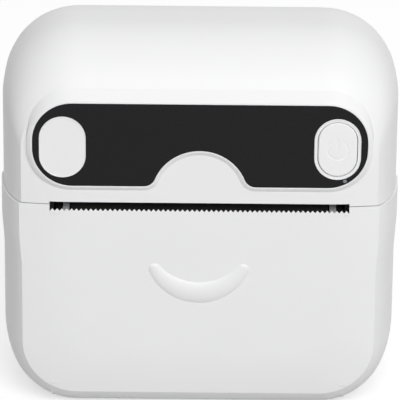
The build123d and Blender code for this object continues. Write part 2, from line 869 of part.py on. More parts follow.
def platen_rubber():
    """The black rubber sleeve."""
    sleeve = across(platen_radius, -platen_half, platen_half, platen_y, platen_z)
    return sleeve - across(shaft_radius, -half_width, half_width, platen_y, platen_z)


def platen_shaft():
    """The steel shaft through the sleeve, out to the gear."""
    end = gear_plane + gear_width + gear_air
    return across(shaft_radius, shaft_setback - plate_outer, end, platen_y, platen_z)


def print_head():
    """The aluminium heat sink that swings on the pivot."""
    sink = span((-sink_half, sink_half), (sink_front, sink_back), (sink_low, sink_high))
    y = (sink_back - sink_slot_depth, sink_back + 1)
    z = (sink_high - sink_slot_height, sink_high + 1)
    for slot in range(-3, 4):
        x = slot * sink_half / 4
        sink -= span((x - sink_slot_half, x + sink_slot_half), y, z)
    return sink - across(head_pivot_radius + gear_play, -half_width, half_width, head_pivot_y, head_pivot_z)


def head_ceramic():
    """The ceramic strip with its raised heating line."""
    face = ceramic_front + heat_line_proud
    strip = span((1 - sink_half, sink_half - 1), (face, sink_front), (ceramic_low, ceramic_high))
    line_z = (platen_z - heat_line_half, platen_z + heat_line_half)
    return strip + span((2 - sink_half, sink_half - 2), (ceramic_front, face), line_z)


def head_leaf():
    """The bowed leaf that presses the head forward."""
    z = (sink_low + sink_high) / 2
    front = bridge_front - leaf_arch
    foot = leaf_half - leaf_foot
    outer = ThreePointArc((-leaf_half, bridge_front), (0, front), (leaf_half, bridge_front))
    inner = ThreePointArc((foot, bridge_front), (0, front + leaf_thickness), (-foot, bridge_front))
    right = Line((leaf_half, bridge_front), (foot, bridge_front))
    left = Line((-foot, bridge_front), (-leaf_half, bridge_front))
    face = make_face([outer, right, inner, left])
    return extrude(Plane.XY.offset(z - leaf_width / 2) * face, leaf_width)


def gear_centre(start, angle, teeth_a, teeth_b):
    """The centre of the next gear along a line at this angle from +Y towards +Z."""
    reach = gear_module * (teeth_a + teeth_b) / 2
    return start[0] + reach * cos(radians(angle)), start[1] + reach * sin(radians(angle))


def idler_place():
    """Centre of the idler, straight behind the roller gear."""
    return gear_centre((platen_y, platen_z), 0, platen_teeth, idler_teeth)


def cluster_place():
    """Centre of the two-step gear."""
    return gear_centre(idler_place(), cluster_angle, idler_teeth, cluster_small_teeth)


def motor_place():
    """Centre of the motor shaft."""
    return gear_centre(cluster_place(), motor_angle, cluster_large_teeth, pinion_teeth)


def meshed_phase(phase, teeth, angle, next_teeth):
    """The next gear's tooth phase, in degrees, so that it meshes along this angle."""
    share = (angle - phase) * teeth / 360
    return angle + 180 - 360 * (0.5 - share) / next_teeth


def gear(teeth, centre, low, phase, width):
    """A spur gear with straight-flanked teeth, drawn as (y, z) and drawn along X."""
    pitch = gear_module * teeth / 2
    profile = ((pitch - 1.25 * gear_module, 0.95), (pitch, 0.7), (pitch + 0.9 * gear_module, 0.4))
    points = []
    for tooth in range(teeth):
        middle = phase + 360 * tooth / teeth
        flank = [(radius, -half) for radius, half in profile]
        flank += [(radius, half) for radius, half in reversed(profile)]
        for radius, half in flank:
            angle = radians(middle) + half * gear_module / radius
            points.append((centre[0] + radius * cos(angle), centre[1] + radius * sin(angle)))
    return side_profile(points, low, low + width)


def gear_phases():
    """Tooth phases along the train, starting from the roller gear."""
    idler = meshed_phase(0, platen_teeth, 0, idler_teeth)
    cluster = meshed_phase(idler, idler_teeth, cluster_angle, cluster_small_teeth)
    pinion = meshed_phase(cluster, cluster_large_teeth, motor_angle, pinion_teeth)
    return idler, cluster, pinion


def bored(solid, centre, radius):
    """A solid with a round hole along X."""
    return solid - across(radius, 0, half_width, *centre)


def platen_gear():
    """The small gear on the roller shaft."""
    centre = (platen_y, platen_z)
    return bored(gear(platen_teeth, centre, gear_plane, 0, gear_width), centre, shaft_radius)


def idler_gear():
    """The plain gear behind the roller gear."""
    centre = idler_place()
    wheel = gear(idler_teeth, centre, gear_plane, gear_phases()[0], gear_width)
    return bored(wheel, centre, gear_pin_radius + gear_play)


def cluster_gear():
    """The two-step gear between the idler and the motor."""
    centre = cluster_place()
    phase = gear_phases()[1]
    small = gear(cluster_small_teeth, centre, gear_plane, phase, gear_width + gear_air)
    large = gear(cluster_large_teeth, centre, upper_plane, phase, gear_width)
    return bored(small + large, centre, gear_pin_radius + gear_play)


def motor_pinion():
    """The motor's shaft with its pinion."""
    centre = motor_place()
    teeth = gear(pinion_teeth, centre, upper_plane, gear_phases()[2], gear_width)
    return teeth + across(gear_pin_radius, plate_inner - motor_length / 2, upper_plane + shaft_end, *centre)


def gear_pins():
    """The pins that the idler and the two-step gear turn on."""
    idler = across(gear_pin_radius, plate_inner, gear_plane + gear_width + gear_pin_end, *idler_place())
    cluster = across(gear_pin_radius, plate_inner, upper_plane + gear_width + gear_pin_end, *cluster_place())
    return idler + cluster


def motor_screw_places():
    """Centres of the two motor screws, as (y, z)."""
    y, z = motor_place()
    side = motor_ear_reach * cos(radians(motor_ear_angle))
    rise = motor_ear_reach * sin(radians(motor_ear_angle))
    return (y + side, z + rise), (y - side, z - rise)


def motor_screws():
    """The two screws through the side plate into the motor's ears."""
    screws = None
    for y, z in motor_screw_places():
        one = across(screw_head_radius, plate_outer, plate_outer + 1, y, z)
        one += across(screw_radius, plate_inner - motor_flange - 1, plate_outer, y, z)
        screws = one if screws is None else screws + one
    return screws


def stepper_motor():
    """The round motor with its two-eared flange and pilot boss."""
    y, z = motor_place()
    can = across(motor_radius, plate_inner - motor_length, plate_inner, y, z)
    ears = Rot(0, 0, motor_ear_angle) * SlotOverall(2 * (motor_ear_reach + motor_ear_radius), 2 * motor_ear_radius)
    can += extrude(Plane.YZ.offset(plate_inner - motor_flange) * (Pos(y, z) * ears), motor_flange)
    for ear_y, ear_z in motor_screw_places():
        can -= across(screw_radius, 0, half_width, ear_y, ear_z)
    can += across(motor_boss_radius, plate_inner - 1, plate_outer, y, z)
    return can - across(gear_pin_radius + gear_play, plate_inner - motor_length / 2 - 0.2, plate_outer + 1, y, z)


def hinge_pins():
    """The two pins that the lid swings on."""
    end = lid_ear_outer + hinge_gap
    return mirrored(across(hinge_pin_radius, bay_half + boss_root, end, hinge_y, hinge_z))


def head_pivot():
    """The long pin under the head."""
    return across(head_pivot_radius, -plate_outer, plate_outer, head_pivot_y, head_pivot_z)


def main_board():
    """The main circuit board with its neck out to the charging socket."""
    y = (board_front, board_front + board_thickness)
    board = span((board_left, board_right), y, (board_low, board_top))
    board += span((board_neck_left, board_left), y, (socket_z - board_neck_half, socket_z + board_neck_half))
    half = boss_web / 2 + board_play
    board -= along(screw_boss_radius + board_play, 0, back_y, -high_screw_x, high_screw_z())
    return board - span((-high_screw_x - half, half - high_screw_x), (0, back_y), (bay_roof, high_screw_z()))


def board_chips():
    """The packages and connectors on the main board."""
    chips = None
    front = board_front
    for x, rise, width, height, thick in (processor, motor_driver, radio_module, power_coil, head_connector):
        z = board_low + rise
        block = span((x - width / 2, x + width / 2), (front - thick, front), (z - height / 2, z + height / 2))
        chips = block if chips is None else chips + block
    return chips


def battery():
    """The flat pouch cell behind the main board."""
    cell = span((battery_left, battery_right), (battery_front, battery_back), (board_low, board_top))
    return fillet(cell.edges().filter_by(Axis.Z), battery_corner)


def button_board():
    """The small board behind the button."""
    y = (button_board_front, button_board_front + board_thickness)
    left = board_post_x - button_board_side
    z = (lamp_z - button_board_foot, board_post_high + button_board_top)
    return span((left, left + button_board_width), y, z)


def button_switch():
    """The dome switch under the button, just clear of it at the end of its travel."""
    front = flange_back + button_travel + switch_gap
    return along(switch_radius, front, button_board_front, eye_x, eye_height)


def light_pipe():
    """The clear rod that brings the indicator light to the visor."""
    return along(lamp_radius, seat_y, button_board_front, lamp_x, lamp_z)


def paper_sensor():
    """The small sensor under the bay roof."""
    y = (bridge_front, bridge_front + sensor_length)
    return span((-sensor_width / 2, sensor_width / 2), y, (bay_roof - sensor_thickness, bay_roof))


def case_screws():
    """The four screws that hold the rear case to the chassis."""
    screws = None
    for x, z in case_screw_places():
        one = screw(x, z, screw_seat + screw_head_height, -1, case_screw_length)
        screws = one if screws is None else screws + one
    return screws


def front_screws():
    """The two screws that hold the front case to the chassis."""
    head = bridge_back + screw_head_height
    return screw(-front_screw_x, front_screw_z, head, -1, front_screw_length) + screw(
        front_screw_x, front_screw_z, head, -1, front_screw_length
    )


SUB_PARTS = {
    "rear_case": rear_case,
    "front_case": front_case,
    "visor_panel": visor_panel,
    "power_button": power_button,
    "lid": lid,
    "chassis": chassis,
    "lid_carrier": lid_carrier,
    "roller_bushes": roller_bushes,
    "platen_rubber": platen_rubber,
    "platen_shaft": platen_shaft,
    "platen_gear": platen_gear,
    "print_head": print_head,
    "head_ceramic": head_ceramic,
    "head_leaf": head_leaf,
    "head_pivot": head_pivot,
    "idler_gear": idler_gear,
    "cluster_gear": cluster_gear,
    "motor_pinion": motor_pinion,
    "gear_pins": gear_pins,
    "stepper_motor": stepper_motor,
    "motor_screws": motor_screws,
    "hinge_pins": hinge_pins,
    "main_board": main_board,
    "board_chips": board_chips,
    "usb_socket": usb_socket,
    "battery": battery,
    "button_board": button_board,
    "button_switch": button_switch,
    "light_pipe": light_pipe,
    "paper_sensor": paper_sensor,
    "case_screws": case_screws,
    "front_screws": front_screws,
}


def main():
    """Build and write every sub-part."""
    os.makedirs("parts", exist_ok=True)
    for name, build in SUB_PARTS.items():
        save(name, build())


if __name__ == "__main__":
    main()
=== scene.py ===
"""Looks of a portable photo printer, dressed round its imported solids.

Lengths are in metres, but for the crescent's, which Arc and Smile hold in millimetres. All of
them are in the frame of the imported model: the front faces -Y, +Z is up and the base stands on
z = 0.
"""

import json
import logging
import math
from abc import ABC, abstractmethod
from collections.abc import Sequence
from dataclasses import dataclass
from enum import Enum

import bmesh
import bpy
from mathutils import Matrix, Vector


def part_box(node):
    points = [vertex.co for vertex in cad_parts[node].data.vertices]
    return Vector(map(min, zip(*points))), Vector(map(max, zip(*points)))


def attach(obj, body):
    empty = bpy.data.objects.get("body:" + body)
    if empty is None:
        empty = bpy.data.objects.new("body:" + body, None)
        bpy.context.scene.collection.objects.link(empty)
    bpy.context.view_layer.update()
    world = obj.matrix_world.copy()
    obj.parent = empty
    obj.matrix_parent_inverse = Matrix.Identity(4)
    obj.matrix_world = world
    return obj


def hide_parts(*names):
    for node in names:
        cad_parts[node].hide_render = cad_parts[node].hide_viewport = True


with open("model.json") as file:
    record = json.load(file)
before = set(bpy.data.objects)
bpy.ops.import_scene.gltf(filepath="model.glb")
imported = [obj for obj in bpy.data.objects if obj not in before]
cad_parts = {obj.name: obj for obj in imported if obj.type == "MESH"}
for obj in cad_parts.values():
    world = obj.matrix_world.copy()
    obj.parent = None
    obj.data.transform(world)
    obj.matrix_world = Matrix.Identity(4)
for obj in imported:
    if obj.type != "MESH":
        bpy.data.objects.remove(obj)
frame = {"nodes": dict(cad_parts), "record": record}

LOG = logging.getLogger("photo_printer")
MM = 0.001
MERGE = 0.0005 * MM
SORT_DIGITS = 5
WHITE = (1.0, 1.0, 1.0, 1.0)
Colour = tuple[float, float, float]
Point = tuple[float, float, float]
Box = tuple[Vector, Vector]
Station = tuple[Vector, Vector, float]


class Surface(Enum):
    """The families of surface that the printer's pieces have."""

    MOULDED = "moulded"
    BRUSHED = "brushed"
    TURNED = "turned"
    GLAZED = "glazed"
    CLEAR = "clear"


# How the grain is drawn out along each axis. On the other surfaces it is even.
GRAIN_STRETCH = {Surface.BRUSHED: (0.04, 1.0, 1.0), Surface.TURNED: (1.0, 0.06, 0.06)}
EVEN_GRAIN = (1.0, 1.0, 1.0)


class Graph:
    """Adds and joins the nodes of one node tree."""

    def __init__(self, tree: bpy.types.NodeTree) -> None:
        """Keep the tree.

        Args:
            tree: The node tree to add to.
        """
        self.tree = tree

    def add(self, kind: str, values: dict[str, object] | None = None, **settings: object) -> bpy.types.Node:
        """Add one node.

        Args:
            kind: The node's type name.
            values: Input socket values by name.
            **settings: The node's own properties.

        Returns:
            The new node.
        """
        node = self.tree.nodes.new(kind)
        for key, value in settings.items():
            setattr(node, key, value)
        for key, value in (values or {}).items():
            node.inputs[key].default_value = value
        return node

    def join(self, out: bpy.types.NodeSocket, into: bpy.types.NodeSocket) -> None:
        """Join an output to an input.

        Args:
            out: The output socket.
            into: The input socket.
        """
        self.tree.links.new(out, into)


def fresh_graph(owner: bpy.types.ID) -> Graph:
    """Empty the node tree of a material or a world.

    Args:
        owner: The material or world.

    Returns:
        A graph on the empty tree.
    """
    owner.use_nodes = True
    owner.node_tree.nodes.clear()
    return Graph(owner.node_tree)


def group_sockets(tree: bpy.types.NodeTree, ways: str, sockets: dict[str, str]) -> None:
    """Give a node group its named sockets.

    Args:
        tree: The group's tree.
        ways: INPUT or OUTPUT.
        sockets: Socket type by name.
    """
    for name, kind in sockets.items():
        tree.interface.new_socket(name=name, in_out=ways, socket_type=kind)


class GrainGroup:
    """A shader group with the fine texture and faint patches of a moulded surface."""

    NAME = "moulded_grain"
    DETAIL = 3.0
    PATCH_DETAIL = 2.0
    ROUGHNESS = 0.55

    @classmethod
    def tree(cls) -> bpy.types.NodeTree:
        """Return the group, built on first use."""
        found = bpy.data.node_groups.get(cls.NAME)
        if found:
            return found
        tree = bpy.data.node_groups.new(cls.NAME, "ShaderNodeTree")
        number = "NodeSocketFloat"
        group_sockets(tree, "INPUT", {"Vector": "NodeSocketVector", "Grain Scale": number, "Patch Scale": number})
        group_sockets(tree, "OUTPUT", {"Height": number, "Patch": number})
        graph = Graph(tree)
        given = graph.add("NodeGroupInput")
        taken = graph.add("NodeGroupOutput")
        fine = graph.add("ShaderNodeTexNoise", {"Detail": cls.DETAIL, "Roughness": cls.ROUGHNESS})
        patch = graph.add("ShaderNodeTexNoise", {"Detail": cls.PATCH_DETAIL})
        for node, scale in ((fine, "Grain Scale"), (patch, "Patch Scale")):
            graph.join(given.outputs["Vector"], node.inputs["Vector"])
            graph.join(given.outputs[scale], node.inputs["Scale"])
        graph.join(fine.outputs["Fac"], taken.inputs["Height"])
        graph.join(patch.outputs["Fac"], taken.inputs["Patch"])
        return tree


@dataclass(frozen=True)
class Finish:
    """One finish: two nearby colours, a roughness range and a grain, in real sizes."""

    name: str
    slot: str
    surface: Surface
    colour: Colour
    shade: Colour
    roughness: tuple[float, float]
    grain: float = 0.25 * MM
    depth: float = 0.004 * MM
    patch: float = 18 * MM
    metallic: float = 0.0
    specular: float = 0.5
    coat: float = 0.0
    coat_roughness: float = 0.1
    transmission: float = 0.0
    ior: float = 1.46

    def stretch(self) -> Point:
        """Return how the grain is drawn out along each axis."""
        return GRAIN_STRETCH.get(self.surface, EVEN_GRAIN)

    def material(self) -> bpy.types.Material:
        """Return the material, built on first use."""
        found = bpy.data.materials.get(self.name)
        if found:
            return found
        made = bpy.data.materials.new(self.name)
        graph = fresh_graph(made)
        out = graph.add("ShaderNodeOutputMaterial")
        shader = graph.add("ShaderNodeBsdfPrincipled", self.constants())
        graph.join(shader.outputs["BSDF"], out.inputs["Surface"])
        place = graph.add("ShaderNodeTexCoord")
        drawn = graph.add("ShaderNodeMapping", {"Scale": self.stretch()})
        grain = graph.add("ShaderNodeGroup", node_tree=GrainGroup.tree())
        grain.inputs["Grain Scale"].default_value = 1 / self.grain
        grain.inputs["Patch Scale"].default_value = 1 / self.patch
        graph.join(place.outputs["Object"], drawn.inputs["Vector"])
        graph.join(drawn.outputs["Vector"], grain.inputs["Vector"])
        self.colour_nodes(graph, grain, shader)
        return made

    def constants(self) -> dict[str, object]:
        """Return the values that are the same all over."""
        return {
            "Metallic": self.metallic,
            "Specular IOR Level": self.specular,
            "Coat Weight": self.coat,
            "Coat Roughness": self.coat_roughness,
            "Transmission Weight": self.transmission,
            "IOR": self.ior,
        }

    def colour_nodes(self, graph: Graph, grain: bpy.types.Node, shader: bpy.types.Node) -> None:
        """Join the grain to the shader's colour, roughness and normal.

        Args:
            graph: The material's graph.
            grain: The grain group's node.
            shader: The Principled shader.
        """
        mix = graph.add("ShaderNodeMix", data_type="RGBA")
        mix.inputs["A"].default_value = (*self.colour, 1.0)
        mix.inputs["B"].default_value = (*self.shade, 1.0)
        graph.join(grain.outputs["Patch"], mix.inputs["Factor"])
        graph.join(mix.outputs["Result"], shader.inputs["Base Color"])
        low, high = self.roughness
        rough = graph.add("ShaderNodeMapRange", {"To Min": low, "To Max": high})
        graph.join(grain.outputs["Height"], rough.inputs["Value"])
        graph.join(rough.outputs["Result"], shader.inputs["Roughness"])
        bump = graph.add("ShaderNodeBump", {"Strength": 1.0, "Distance": self.depth})
        graph.join(grain.outputs["Height"], bump.inputs["Height"])
        graph.join(bump.outputs["Normal"], shader.inputs["Normal"])


CASE_WHITE = Finish(
    "case_white_plastic", "case_white", Surface.MOULDED, (0.86, 0.86, 0.865), (0.84, 0.84, 0.842), (0.38, 0.5),
    grain=0.18 * MM, depth=0.0016 * MM, specular=0.42,
)
BUTTON_WHITE = Finish(
    "button_white_plastic", "button_white", Surface.MOULDED, (0.88, 0.88, 0.88), (0.865, 0.865, 0.865), (0.34, 0.42),
    grain=0.16 * MM, depth=0.001 * MM,
)
VISOR_BLACK = Finish(
    "visor_black_grain", "visor_black", Surface.MOULDED, (0.008, 0.008, 0.009), (0.016, 0.016, 0.017), (0.6, 0.85),
    grain=0.22 * MM, depth=0.008 * MM, patch=0.35 * MM, specular=0.16,
)
# Black plastic of the chassis and the lid carrier. The chassis plate that roofs the paper slot is black partly as
# painted shade, to keep the inside of the slot dark.
FRAME_BLACK_AND_SLOT_SHADE = Finish(
    "frame_black_and_slot_shade", "frame_black", Surface.MOULDED, (0.016, 0.016, 0.017), (0.022, 0.022, 0.022), (0.45, 0.6),
)
BUSH_GREY = Finish(
    "bush_grey_acetal", "bush_grey", Surface.MOULDED, (0.66, 0.67, 0.69), (0.6, 0.61, 0.63), (0.3, 0.42),
    patch=4 * MM,
)
ROLLER_RUBBER = Finish(
    "roller_ground_rubber", "roller_rubber", Surface.TURNED, (0.018, 0.018, 0.018), (0.03, 0.03, 0.03), (0.72, 0.9),
    grain=0.12 * MM, depth=0.01 * MM, specular=0.25,
)
STEEL = Finish(
    "turned_steel", "steel", Surface.TURNED, (0.62, 0.62, 0.63), (0.55, 0.55, 0.56), (0.2, 0.36), metallic=1.0,
)
MOTOR_STEEL = Finish(
    "zinc_plated_can", "motor_steel", Surface.BRUSHED, (0.58, 0.58, 0.58), (0.5, 0.5, 0.49), (0.3, 0.46),
    metallic=1.0,
)
SCREW_STEEL = Finish(
    "black_oxide_screw", "screw_steel", Surface.TURNED, (0.12, 0.12, 0.125), (0.2, 0.2, 0.2), (0.3, 0.5),
    metallic=1.0,
)
GEAR_WHITE = Finish(
    "gear_acetal", "gear_white", Surface.MOULDED, (0.8, 0.79, 0.75), (0.76, 0.75, 0.71), (0.3, 0.44), patch=5 * MM,
)
HEAT_SINK = Finish(
    "extruded_aluminium", "heat_sink", Surface.BRUSHED, (0.78, 0.78, 0.79), (0.7, 0.7, 0.71), (0.3, 0.5),
    metallic=1.0,
)
CERAMIC = Finish(
    "glazed_ceramic", "ceramic", Surface.GLAZED, (0.7, 0.66, 0.58), (0.64, 0.6, 0.53), (0.16, 0.24), coat=0.6,
)
BRASS = Finish(
    "machined_brass", "brass", Surface.TURNED, (0.72, 0.55, 0.25), (0.64, 0.48, 0.22), (0.2, 0.34), metallic=1.0,
)
BOARD_GREEN = Finish(
    "solder_resist", "board_green", Surface.GLAZED, (0.015, 0.15, 0.06), (0.02, 0.2, 0.085), (0.2, 0.3),
    patch=1.4 * MM, coat=0.4,
)
CHIP_BLACK = Finish(
    "epoxy_package", "chip_black", Surface.MOULDED, (0.02, 0.02, 0.02), (0.035, 0.035, 0.035), (0.5, 0.7),
)
BATTERY_FOIL = Finish(
    "foil_pouch", "battery_foil", Surface.BRUSHED, (0.66, 0.67, 0.69), (0.58, 0.59, 0.61), (0.3, 0.5), metallic=1.0,
)
CLEAR = Finish(
    "clear_rod", "clear", Surface.CLEAR, (0.34, 0.35, 0.36), (0.28, 0.29, 0.3), (0.1, 0.2), transmission=0.35,
)

NODE_FINISHES = {
    "rear_case": CASE_WHITE,
    "front_case": CASE_WHITE,
    "lid": CASE_WHITE,
    "visor_panel": VISOR_BLACK,
    "power_button": BUTTON_WHITE,
    "chassis": FRAME_BLACK_AND_SLOT_SHADE,
    "lid_carrier": FRAME_BLACK_AND_SLOT_SHADE,
    "roller_bushes": BUSH_GREY,
    "platen_rubber": ROLLER_RUBBER,
    "platen_shaft": STEEL,
    "platen_gear": GEAR_WHITE,
    "print_head": HEAT_SINK,
    "head_ceramic": CERAMIC,
    "head_leaf": STEEL,
    "head_pivot": STEEL,
    "idler_gear": GEAR_WHITE,
    "cluster_gear": GEAR_WHITE,
    "motor_pinion": BRASS,
    "gear_pins": STEEL,
    "stepper_motor": MOTOR_STEEL,
    "motor_screws": SCREW_STEEL,
    "hinge_pins": STEEL,
    "main_board": BOARD_GREEN,
    "board_chips": CHIP_BLACK,
    "usb_socket": STEEL,
    "battery": BATTERY_FOIL,
    "button_board": BOARD_GREEN,
    "button_switch": STEEL,
    "light_pipe": CLEAR,
    "paper_sensor": CHIP_BLACK,
    "case_screws": SCREW_STEEL,
    "front_screws": SCREW_STEEL,
}


def body_of(node: str) -> str:
    """Look up the body that a CAD node rides on.

    Args:
        node: The CAD node's name.

    Returns:
        The body's name.

    Raises:
        KeyError: If no body has the node.
    """
    for body, members in frame["record"]["behaviour"]["bodies"].items():
        if node in members:
            return body
    raise KeyError(node)


def place_piece(piece: bpy.types.Object, body: str, finish: Finish) -> None:
    """Dress a finished piece and let it ride.

    Args:
        piece: The piece, with its place in its mesh.
        body: The body it rides on.
        finish: Its finish.
    """
    piece.data.materials.clear()
    piece.data.materials.append(finish.material())
    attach(piece, body)
    LOG.info("%s rides on %s, %d faces", piece.name, body, len(piece.data.polygons))


def linked(name: str, data: bpy.types.ID) -> bpy.types.Object:
    """Make an object and put it in the scene.

    Args:
        name: The object's name.
        data: Its mesh, camera or light.

    Returns:
        The new object.
    """
    made = bpy.data.objects.new(name, data)
    bpy.context.scene.collection.objects.link(made)
    return made


def new_piece(
    name: str, points: Sequence[Point], edges: Sequence[tuple[int, int]] = (), faces: Sequence[tuple[int, ...]] = ()
) -> bpy.types.Object:
    """Make a mesh object, for a pattern to work on or to be filled in.

    Args:
        name: The object's name.
        points: Its points.
        edges: Pairs of point numbers.
        faces: Rings of point numbers.

    Returns:
        The new object.
    """
    mesh = bpy.data.meshes.new(name)
    mesh.from_pydata(points, edges, faces)
    return linked(name, mesh)


def settled_mesh(piece: bpy.types.Object) -> bpy.types.Mesh:
    """Copy a piece's mesh with its modifiers applied.

    Args:
        piece: The piece, which keeps its modifiers.

    Returns:
        The new mesh.
    """
    graph = bpy.context.evaluated_depsgraph_get()
    return bpy.data.meshes.new_from_object(piece.evaluated_get(graph))


def merged_grid(node: str) -> bmesh.types.BMesh:
    """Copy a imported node's mesh with its loose triangles joined.

    Args:
        node: The CAD node's name.

    Returns:
        The copy, for the caller to free.
    """
    source = frame["nodes"][node].data
    grid = bmesh.new()
    verts = [grid.verts.new(vert.co) for vert in source.vertices]
    for face in source.polygons:
        grid.faces.new([verts[place] for place in face.vertices])
    bmesh.ops.remove_doubles(grid, verts=grid.verts, dist=MERGE)
    grid.normal_update()
    return grid


def islands(node: str) -> list[Box]:
    """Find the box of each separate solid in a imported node.

    Args:
        node: The CAD node's name.

    Returns:
        The low and high corners of each, sorted by the low one.
    """
    grid = merged_grid(node)
    left = set(grid.verts)
    boxes = []
    while left:
        reach = [left.pop()]
        solid = []
        while reach:
            vert = reach.pop()
            solid.append(vert.co.copy())
            for edge in vert.link_edges:
                other = edge.other_vert(vert)
                if other in left:
                    left.discard(other)
                    reach.append(other)
        low = Vector([min(p[axis] for p in solid) for axis in range(3)])
        high = Vector([max(p[axis] for p in solid) for axis in range(3)])
        boxes.append((low, high))
    grid.free()
    return sorted(boxes, key=lambda box: tuple(round(c, SORT_DIGITS) for c in box[0]))


class Pattern(ABC):
    """A Geometry Nodes tree with named inputs, run once and kept as a plain mesh."""

    name: str
    inputs: dict[str, str]

    def tree(self) -> bpy.types.NodeTree:
        """Return the tree, built on first use."""
        found = bpy.data.node_groups.get(self.name)
        if found:
            return found
        tree = bpy.data.node_groups.new(self.name, "GeometryNodeTree")
        geometry = "NodeSocketGeometry"
        group_sockets(tree, "INPUT", {"Geometry": geometry, **self.inputs, "Material": "NodeSocketMaterial"})
        group_sockets(tree, "OUTPUT", {"Geometry": geometry})
        graph = Graph(tree)
        given = graph.add("NodeGroupInput")
        taken = graph.add("NodeGroupOutput")
        made = self.wire(graph, given)
        whole = graph.add("GeometryNodeRealizeInstances")
        coated = graph.add("GeometryNodeSetMaterial")
        graph.join(made, whole.inputs["Geometry"])
        graph.join(whole.outputs["Geometry"], coated.inputs["Geometry"])
        graph.join(given.outputs["Material"], coated.inputs["Material"])
        graph.join(coated.outputs["Geometry"], taken.inputs["Geometry"])
        return tree

    @abstractmethod
    def wire(self, graph: Graph, given: bpy.types.Node) -> bpy.types.NodeSocket:
        """Add the pattern's own nodes.

        Args:
            graph: The tree's graph.
            given: The group input node.

        Returns:
            The geometry to realize.
        """

    def run(self, carrier: bpy.types.Object, finish: Finish, values: dict[str, object]) -> bpy.types.Object:
        """Run the tree on a carrier and return a plain mesh in its place.

        Args:
            carrier: The points or edges to work on. It is deleted.
            finish: The finish that the tree sets.
            values: Input values by name.

        Returns:
            The new piece, with the carrier's name.
        """
        tree = self.tree()
        modifier = carrier.modifiers.new(self.name, "NODES")
        modifier.node_group = tree
        wanted = {**values, "Material": finish.material()}
        for item in tree.interface.items_tree:
            if item.in_out == "INPUT" and item.name in wanted:
                modifier[item.identifier] = wanted[item.name]
        mesh = settled_mesh(carrier)
        name = carrier.name
        carrier.modifiers.clear()
        bpy.data.objects.remove(carrier)
        mesh.name = name
        return linked(name, mesh)


class BeadPattern(Pattern):
    """A thin round bead along a closed path."""

    name = "bead_along_path"
    inputs = {"Radius": "NodeSocketFloat", "Sides": "NodeSocketInt"}

    def wire(self, graph: Graph, given: bpy.types.Node) -> bpy.types.NodeSocket:
        """Sweep a small circle along the carrier's edges.

        Args:
            graph: The tree's graph.
            given: The group input node.

        Returns:
            The bead, smoothly shaded.
        """
        path = graph.add("GeometryNodeMeshToCurve")
        ring = graph.add("GeometryNodeCurvePrimitiveCircle")
        swept = graph.add("GeometryNodeCurveToMesh")
        smooth = graph.add("GeometryNodeSetShadeSmooth")
        graph.join(given.outputs["Geometry"], path.inputs["Mesh"])
        graph.join(given.outputs["Radius"], ring.inputs["Radius"])
        graph.join(given.outputs["Sides"], ring.inputs["Resolution"])
        graph.join(path.outputs["Curve"], swept.inputs["Curve"])
        graph.join(ring.outputs["Curve"], swept.inputs["Profile Curve"])
        graph.join(swept.outputs["Mesh"], smooth.inputs["Geometry"])
        return smooth.outputs["Geometry"]


